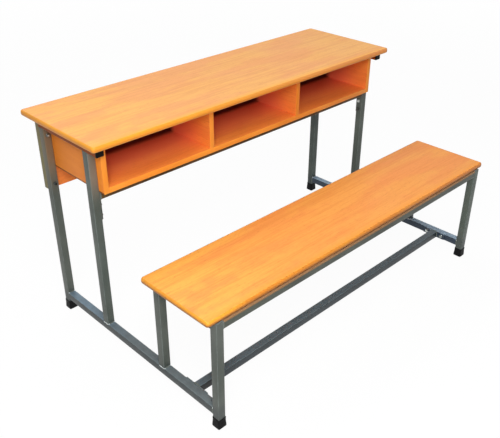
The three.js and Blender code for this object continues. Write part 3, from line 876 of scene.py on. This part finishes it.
boardShape = {
    "corner": 11 * mm,        # outer radius
    "cornerLeast": 0.4 * mm,
    "cornerSteps": 9,
    "noseDepth": 4.5 * mm,
    "noseSteps": 16,
    "soft": 0.3 * mm,         # broken edge of the board's top and bottom
    "tongue": 9 * mm,
    "tongueHalf": 0.8 * mm,
    "barbs": (0.3, 0.55, 0.8),  # shares of the tongue's length
    "barbHeight": 0.4 * mm,
    "barbLength": 1.6 * mm,
    "gap": 0.15 * mm,
}


def roundRing(low, high, inset, height):
    radius = max(boardShape["corner"] - inset, boardShape["cornerLeast"])
    steps = boardShape["cornerSteps"]
    ring = []
    for quarter, (signX, signY) in enumerate(((1, 1), (-1, 1), (-1, -1), (1, -1))):
        middle = Vector(((high if signX > 0 else low).x - signX * (inset + radius),
                         (high if signY > 0 else low).y - signY * (inset + radius), height))
        for step in range(steps + 1):
            angle = (quarter + step / steps) * math.pi / 2
            ring.append(middle + Vector((math.cos(angle), math.sin(angle), 0)) * radius)
    return ring


def addCore(name, low, high):  # low and high are the corners of the edging's box
    look = boardShape
    coreLow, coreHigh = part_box(name)
    inset = coreLow.x - low.x
    middle = (coreLow.z + coreHigh.z) / 2
    soft = look["soft"]
    groove = look["tongueHalf"] + look["barbHeight"] + look["gap"]
    bottom = inset + look["tongue"] + look["gap"]
    outline = (
        (inset + soft, coreLow.z),
        (inset, coreLow.z + soft),
        (inset, middle - groove),
        (bottom, middle - groove),
        (bottom, middle + groove),
        (inset, middle + groove),
        (inset, coreHigh.z - soft),
        (inset + soft, coreHigh.z),
    )
    mesh = bmesh.new()
    skin(mesh, [roundRing(low, high, depth, height) for depth, height in outline])
    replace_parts(addMesh(f"{name}_board", mesh, f"{name}Laminate"), name)


def addEdging(name, low, high):
    look = boardShape
    half = (high.z - low.z) / 2
    middle = (high.z + low.z) / 2
    nose = look["noseDepth"]
    tongue = look["tongueHalf"]
    outline = []
    for step in range(look["noseSteps"] + 1):
        angle = (step / look["noseSteps"] - 0.5) * math.pi
        outline.append((nose * (1 - math.cos(angle)), half * math.sin(angle)))
    upper = [(nose, tongue)]
    for share in look["barbs"]:
        root = nose + share * look["tongue"]
        upper += [(root, tongue), (root, tongue + look["barbHeight"]), (root + look["barbLength"], tongue)]
    upper.append((nose + look["tongue"] - look["gap"], tongue / 2))
    outline += upper + [(depth, -height) for depth, height in reversed(upper)]
    mesh = bmesh.new()
    skin(mesh, [roundRing(low, high, depth, middle + height) for depth, height in outline], "joined")
    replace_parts(addMesh(f"{name}_edging", mesh, f"{name}Edging"), f"{name}_moulding")


for name in ("desktop", "seat"):
    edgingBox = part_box(f"{name}_moulding")
    addCore(name, *edgingBox)
    addEdging(name, *edgingBox)
print("boards made")


# Plates that close the tops of the legs

legPlate = {
    "inset": 0.6 * mm,
    "thickness": 1.2 * mm,
    "sunk": 0.7 * mm,         # the plate's middle, under the top of the leg
}


def addLegPlates():
    mesh = bmesh.new()
    inset = legPlate["inset"]
    for name in cadNodes:
        if name.endswith("_leg"):
            low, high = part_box(name)
            size = (high.x - low.x - 2 * inset, high.y - low.y - 2 * inset, legPlate["thickness"])
            place = ((low.x + high.x) / 2, (low.y + high.y) / 2, high.z - legPlate["sunk"])
            shape = Matrix.Translation(place) @ Matrix.Diagonal((*size, 1))
            bmesh.ops.create_cube(mesh, size=1, matrix=shape)
    addMesh("leg_top_plates", mesh, "powderCoat")


addLegPlates()
print("leg plates made")


# Weld beads

bead = {
    "radius": 2.3 * mm,
    "flushSunk": 1.3 * mm,    # how deep a flush bead's middle lies under the tube's face
    "filletSunk": 0.2 * mm,
    "endInset": 1.2 * mm,     # from the corners of the tube
    "endTaper": 2.6 * mm,
    "endRadius": 0.2,         # share of the radius
    "swell": (0.88, 1.12),    # least and most share of the radius
    "ripple": 1.7 * mm,       # length of one ripple
    "rippleDepth": 0.22 * mm,
    "slowShare": 0.6,         # of the ripple's depth in a slow wave
    "slowWaves": 1.5,         # along the bead
    "step": 0.45 * mm,
    "stepsLeast": 8,
    "sides": 12,
}
# Each row is a tube, the axis square to the face that it meets, the node and its ends (0 low, 1 high)
# that give the face's place, then the tube's four sides: low and high on the first cross axis, and on
# the second. There 1 is a fillet on a face that runs on past the tube, 0 a shallow bead on one that
# ends flush with it, and None no bead.
sideWelds = (
    ("bench_rear_leg", 2, "runner", (1,), (0, 0, 1, 1)),
    ("desk_front_leg", 2, "runner", (1,), (0, 0, 1, 1)),
    ("runner", 1, "runner", (0, 1), (0, 0, 1, 1)),
    ("desk_front_leg", 2, "desk_bearer", (0,), (0, 0, 1, 1)),
    ("desk_rear_leg", 2, "desk_bearer", (0,), (0, 0, 1, None)),
    ("seat_bearer", 1, "seat_bearer", (0, 1), (0, 0, 1, None)),
)
railWelds = (
    ("seat_front_rail", 0, "seat_front_rail", (0, 1), (0, 1, 1, None)),
    ("seat_rear_rail", 0, "seat_rear_rail", (0, 1), (1, 0, 1, None)),
    ("floor_stretcher", 0, "floor_stretcher", (0, 1), (1, 1, 0, 0)),
    ("shelf_rail", 0, "shelf_rail", (0, 1), (0, 0, 1, None)),
)
luck = random.Random(11)


def addBead(mesh, start, end):
    run = end - start
    length = run.length
    along = run.normalized()
    side = along.orthogonal().normalized()
    lift = along.cross(side)
    count = max(bead["stepsLeast"], int(length / bead["step"]))
    phase = luck.random() * math.tau
    swell = luck.uniform(*bead["swell"])
    rings = []
    for step in range(count + 1):
        place = length * step / count
        taper = min(1.0, place / bead["endTaper"], (length - place) / bead["endTaper"])
        taper = math.sqrt(max(bead["endRadius"] ** 2, 1 - (1 - taper) ** 2))
        wave = math.sin(math.tau * place / bead["ripple"] + phase)
        wave += bead["slowShare"] * math.sin(math.tau * place / length * bead["slowWaves"] + phase)
        radius = (bead["radius"] * swell + bead["rippleDepth"] * wave) * taper
        middle = start + along * place
        ring = []
        for turn in range(bead["sides"]):
            angle = math.tau * turn / bead["sides"]
            ring.append(middle + side * (radius * math.cos(angle)) + lift * (radius * math.sin(angle)))
        rings.append(ring)
    skin(mesh, rings)


def beadRound(mesh, low, high, axis, place, sides):
    cross = [other for other in range(3) if other != axis]
    for index, runsOn in enumerate(sides):
        if runsOn is None:
            continue
        across = cross[index // 2]
        other = cross[1 - index // 2]
        edge, inwards = ((low, 1), (high, -1))[index % 2]
        start = Vector((0, 0, 0))
        start[axis] = place
        start[across] = edge[across]
        end = start.copy()
        start[other] = low[other] + bead["endInset"]
        end[other] = high[other] - bead["endInset"]
        sink = Vector((0, 0, 0))
        sink[across] = inwards * (bead["filletSunk"] if runsOn else bead["flushSunk"])
        addBead(mesh, start + sink, end + sink)


def addWelds(name, rows, side=""):
    mesh = bmesh.new()
    for tube, axis, met, ends, sides in rows:
        for end in ends:
            beadRound(mesh, *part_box(side + tube), axis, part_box(side + met)[end][axis], sides)
    addMesh(name, mesh, "weldPaint")


for side in ("left", "right"):
    addWelds(f"{side}_weld_beads", sideWelds, f"{side}_")
addWelds("rail_weld_beads", railWelds)
print("weld beads made")


# Fasteners, each turned from rings round its own axis

turned = {                    # what the bolts and nuts share
    "shank": 2.95 * mm,       # radius
    "across": 10 * mm,        # hexagon
    "hexFlat": 0.475,         # radius of its flat end, as a share of that width
    "hexSlope": math.tan(math.radians(30)),
    "washer": 1.4 * mm,       # thickness
    "washerSoft": 0.22,       # broken edge, as a share of the thickness
    "washerTurns": 36,
    "hexTurns": 48,
    "shankTurns": 24,
}
plateBolt = {
    "head": 4 * mm,
    "washerRadius": 6.5 * mm,
    "tipRadius": 0.8,         # share of the shank
    "tipTaper": 0.25,         # length, as a share of the shank
    "old": ("rail_bolt_lower", "left_shelf"),  # in the names of the bolts painted dark for the shade they sit in
}
panelBolt = {
    "dome": 8 * mm,
    "domeHeight": 3.3 * mm,
    "domeFoot": 0.985,        # shares of the dome's radius
    "domeTop": 0.04,
    "domeRim": 0.25 * mm,
    "domeSteps": 10,
    "root": 2.5 * mm,         # the thread's smaller radius
    "pitch": 1.0 * mm,
    "ringsToPitch": 8,
    "threaded": 22 * mm,
    "plainFrom": 0.2 * mm,
    "nut": 5 * mm,
    "nutBore": 3.15 * mm,
    "washerRadius": 6.2 * mm,
}
screw = {
    "radius": 4.2 * mm,
    "height": 2.6 * mm,
    "skirt": 0.45,            # share of the height at the rim
    "crown": 0.4,             # share of the height that the crown rises
    "crownRings": (0.97, 0.9, 0.78, 0.62),
    "recess": 1.9 * mm,       # reach of the cross from the middle
    "recessRings": (1.02, 0.98, 0.7),
    "recessWidth": 0.55 * mm,
    "recessDepth": 1.5 * mm,
    "slotRings": (1.05, 0.9),  # shares of the recess's width
    "turns": 56,
}
# Screws go up through the tubes under the boards, each at a share of its tube's length
screwedTubes = (
    (("left_desk_bearer", "right_desk_bearer"), 1, (0.2, 0.5, 0.86)),
    (("left_seat_bearer", "right_seat_bearer"), 1, (0.25, 0.75)),
    (("seat_front_rail", "seat_rear_rail"), 0, (0.09, 0.36, 0.64, 0.91)),
)


def axisFrame(direction, place):  # puts the local z axis on that direction, from that place
    return Matrix.Translation(place) @ Vector(direction).to_track_quat("Z", "Y").to_matrix().to_4x4()


def anyTurn():
    return Matrix.Rotation(luck.random() * math.tau, 4, "Z")


def lathe(mesh, stations, frameOf, turns, ends="capped"):
    # Each station is a radius and a height, either of them a number or a function of the angle
    rings = []
    for radius, height in stations:
        ring = []
        for step in range(turns):
            angle = math.tau * step / turns
            reach = radius(angle) if callable(radius) else radius
            rise = height(angle) if callable(height) else height
            ring.append(frameOf @ Vector((reach * math.cos(angle), reach * math.sin(angle), rise)))
        rings.append(ring)
    skin(mesh, rings, ends)


def addWasher(mesh, radius, bore, frameOf):
    high = turned["washer"]
    soft = high * turned["washerSoft"]
    outside = [(radius - soft, 0), (radius, soft), (radius, high - soft), (radius - soft, high)]
    stations = [(bore, 0), *outside, (bore, high), (bore, 0)]
    lathe(mesh, stations, frameOf, turned["washerTurns"], "open")


def hexStations(low, high, bothEnds=False):
    # A hexagon whose corners are turned off at 30 degrees, as on a bought bolt head or nut
    sixth = math.tau / 6
    flat = turned["across"] * turned["hexFlat"]

    def reach(angle):
        return turned["across"] / 2 / math.cos((angle + sixth / 2) % sixth - sixth / 2)

    def drop(angle):
        return (reach(angle) - flat) * turned["hexSlope"]

    upper = [(reach, lambda angle: high - drop(angle)), (flat, high)]
    lower = [(flat, low), (reach, lambda angle: low + drop(angle))] if bothEnds else [(reach, low)]
    return lower + upper


def threadStations(low, high):
    # The crest climbs one pitch in each turn and fades out over the last turn
    root = panelBolt["root"]
    pitch = panelBolt["pitch"]
    stations = []
    count = int((high - low) / pitch * panelBolt["ringsToPitch"])
    for step in range(count + 1):
        height = low + (high - low) * step / count
        fade = min(1.0, (high - height) / pitch)

        def reach(angle, height=height, fade=fade):
            turn = (height / pitch - angle / math.tau) % 1.0
            crest = 1 - abs(2 * turn - 1)
            return root + (turned["shank"] - root) * crest * fade

        stations.append((reach, height))
    return stations


def addPlateBolt(name):
    low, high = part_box(name)
    inwards = 1 if low.x < 0 else -1
    top = high.x if inwards > 0 else low.x
    washer = turned["washer"]
    depth = plateBolt["head"] + washer
    seat = (top - inwards * depth, (low.y + high.y) / 2, (low.z + high.z) / 2)
    frameOf = axisFrame((inwards, 0, 0), seat) @ anyTurn()
    shank = turned["shank"]
    end = -(high.x - low.x - depth)
    bolt = [(shank, washer / 2), (shank, end + shank * plateBolt["tipTaper"]),
            (shank * plateBolt["tipRadius"], end)]
    mesh = bmesh.new()
    addWasher(mesh, plateBolt["washerRadius"], shank, frameOf)
    lathe(mesh, hexStations(washer, depth), frameOf, turned["hexTurns"])
    lathe(mesh, bolt, frameOf, turned["shankTurns"])
    old = any(part in name for part in plateBolt["old"])
    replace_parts(addMesh(f"{name}_turned", mesh, "oldZincPlate" if old else "zincPlate"), name)


def addPanelBolt(name):
    low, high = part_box(name)
    look = panelBolt
    seat = high.y - look["domeHeight"]
    frameOf = axisFrame((0, 1, 0), ((low.x + high.x) / 2, seat, (low.z + high.z) / 2))
    rim = look["domeRim"]
    dome = [(look["dome"] * look["domeFoot"], 0.0), (look["dome"], rim)]
    for step in range(1, look["domeSteps"]):
        angle = step / look["domeSteps"] * math.pi / 2
        height = rim + (look["domeHeight"] - rim) * math.sin(angle)
        dome.append((look["dome"] * math.cos(angle), height))
    dome.append((look["dome"] * look["domeTop"], look["domeHeight"]))
    end = low.y - seat
    shank = turned["shank"]
    plain = [(shank, look["plainFrom"]), (shank, end + look["threaded"])]
    mesh = bmesh.new()
    lathe(mesh, dome, frameOf, turned["hexTurns"])
    lathe(mesh, plain, frameOf, turned["shankTurns"])
    backwards = frameOf @ Matrix.Rotation(math.pi, 4, "X")
    lathe(mesh, threadStations(-end - look["threaded"], -end), backwards, turned["shankTurns"])
    finish = "zincPlate" if "upper" in name else "tailZincPlate"
    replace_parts(addMesh(f"{name}_turned", mesh, finish), name)


def addPanelNut(name):
    low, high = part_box(name)
    frameOf = axisFrame((0, -1, 0), ((low.x + high.x) / 2, high.y, (low.z + high.z) / 2)) @ anyTurn()
    bore = panelBolt["nutBore"]
    foot = turned["washer"]
    top = foot + panelBolt["nut"]
    nut = [(bore, foot), *hexStations(foot, top, bothEnds=True), (bore, top), (bore, foot)]
    mesh = bmesh.new()
    addWasher(mesh, panelBolt["washerRadius"], bore, frameOf)
    lathe(mesh, nut, frameOf, turned["hexTurns"], "open")
    finish = "dullZincPlate" if "upper" in name else "oldZincPlate"
    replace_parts(addMesh(f"{name}_turned", mesh, finish), name)


def screwStations():  # a pan head with a cross sunk in it
    def face(reach, height):
        def rise(angle):
            sideways = min(abs(math.sin(angle)), abs(math.cos(angle))) * reach
            inside = reach < screw["recess"] and sideways < screw["recessWidth"]
            return height - (screw["recessDepth"] if inside else 0)
        return reach, rise

    radius = screw["radius"]
    height = screw["height"]
    outer, inner = (screw["recessWidth"] * share for share in screw["slotRings"])
    stations = [(radius, 0), (radius, height * screw["skirt"])]
    for share in screw["crownRings"]:
        stations.append(face(radius * share, height * (1 - screw["crown"] * share ** 4)))
    for share in screw["recessRings"]:
        stations.append(face(screw["recess"] * share, height))
    stations.append(face(outer, height))
    stations.append((inner, height - screw["recessDepth"]))
    return stations


def addScrews():
    mesh = bmesh.new()
    for tubes, axis, shares in screwedTubes:
        for tube in tubes:
            low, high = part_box(tube)
            for share in shares:
                place = (low + high) / 2
                place[axis] = low[axis] + (high[axis] - low[axis]) * share
                place.z = low.z
                lathe(mesh, screwStations(), axisFrame((0, 0, -1), place) @ anyTurn(), screw["turns"])
    addMesh("board_screws", mesh, "zincPlate")


makers = {"stretcher_bolt": addPlateBolt, "rail_bolt": addPlateBolt, "panel_bolt": addPanelBolt,
          "panel_nut": addPanelNut}
for name in sorted(cadNodes):
    for part, make in makers.items():
        if part in name:
            make(name)
addScrews()
print("fasteners made")


# Floor, lamps and world

studio = {
    "floorSize": 40.0,
    "floorColour": srgb(196, 196, 196),  # as it lights the object from below
    "floorSeen": srgb(252, 252, 252),
    "floorWhite": 0.96,       # share of plain white that the camera sees in the floor near the desk
    "whiteFrom": (1.5, 6.0),  # metres out over which that share grows to all white
    "white": (1.0, 1.0, 1.0, 1.0),
    "worldStrength": 0.1,
    "worldColour": (0.93, 0.97, 1.0, 1.0),
    "aim": (0, 0, 0.4),
    "lamps": {
        # Azimuth from +X towards +Y and elevation in degrees, metres from the aim, size, power, colour
        "frontLamp": (225, 35, 3.6, 1.4, 80, (1.0, 1.0, 1.0)),
        "highLamp": (225, 62, 5.0, 1.8, 72, (1.0, 1.0, 1.0)),
        "lowLamp": (230, 20, 3.0, 1.2, 14, (1.0, 1.0, 1.0)),
        "rearLamp": (80, 60, 5.0, 1.8, 84, (0.92, 0.96, 1.0)),
    },
}


def seenDirectly(finish):
    rays = ("Is Camera Ray", "Is Glossy Ray", "Is Transmission Ray")
    return finish.largest(*[finish.node("ShaderNodeLightPath", output=ray) for ray in rays])


def addFloor():
    mesh = bmesh.new()
    bmesh.ops.create_grid(mesh, x_segments=1, y_segments=1, size=studio["floorSize"] / 2)
    data = bpy.data.meshes.new("floor")
    mesh.to_mesh(data)
    mesh.free()
    floor = bpy.data.objects.new("floor", data)
    bpy.context.scene.collection.objects.link(floor)
    finish = newFinish("paleFloor")
    seen = seenDirectly(finish)
    colour = finish.mix(seen, studio["floorColour"], studio["floorSeen"])
    matt = finish.node("ShaderNodeBsdfDiffuse", sockets={"Color": colour})
    white = finish.node("ShaderNodeEmission", sockets={"Color": studio["white"], "Strength": 1.0})
    out = finish.node("ShaderNodeVectorMath", {"operation": "LENGTH"}, {0: finish.place()}, output=1)
    share = studio["floorWhite"] + finish.ramp(out, *studio["whiteFrom"]) * (1 - studio["floorWhite"])
    both = finish.node("ShaderNodeMixShader", sockets={0: seen * share, 1: matt, 2: white})
    finish.node("ShaderNodeOutputMaterial", sockets={"Surface": both})
    data.materials.append(finish.owner)


def addWorld():
    world = bpy.data.worlds.new("studio")
    bpy.context.scene.world = world
    finish = Finish(world)
    light = {"Color": studio["worldColour"], "Strength": studio["worldStrength"]}
    lighting = finish.node("ShaderNodeBackground", sockets=light)
    white = finish.node("ShaderNodeBackground", sockets={"Color": studio["white"], "Strength": 1.0})
    both = finish.node("ShaderNodeMixShader", sockets={0: seenDirectly(finish), 1: lighting, 2: white})
    finish.node("ShaderNodeOutputWorld", sockets={"Surface": both})


def addLamps():
    for name, (azimuth, elevation, distance, size, power, colour) in studio["lamps"].items():
        data = bpy.data.lights.new(name, "AREA")
        data.shape = "DISK"
        data.size = size
        data.energy = power
        data.color = colour
        lamp = bpy.data.objects.new(name, data)
        azimuth = math.radians(azimuth)
        elevation = math.radians(elevation)
        level = math.cos(elevation)
        away = Vector((level * math.cos(azimuth), level * math.sin(azimuth), math.sin(elevation)))
        lamp.location = Vector(studio["aim"]) + away * distance
        lamp.rotation_mode = "QUATERNION"
        lamp.rotation_quaternion = (-away).to_track_quat("-Z", "Y")
        lamp.visible_camera = False
        bpy.context.scene.collection.objects.link(lamp)


addFloor()
addWorld()
addLamps()
bpy.context.scene.view_settings.view_transform = "Standard"
print("studio lit")
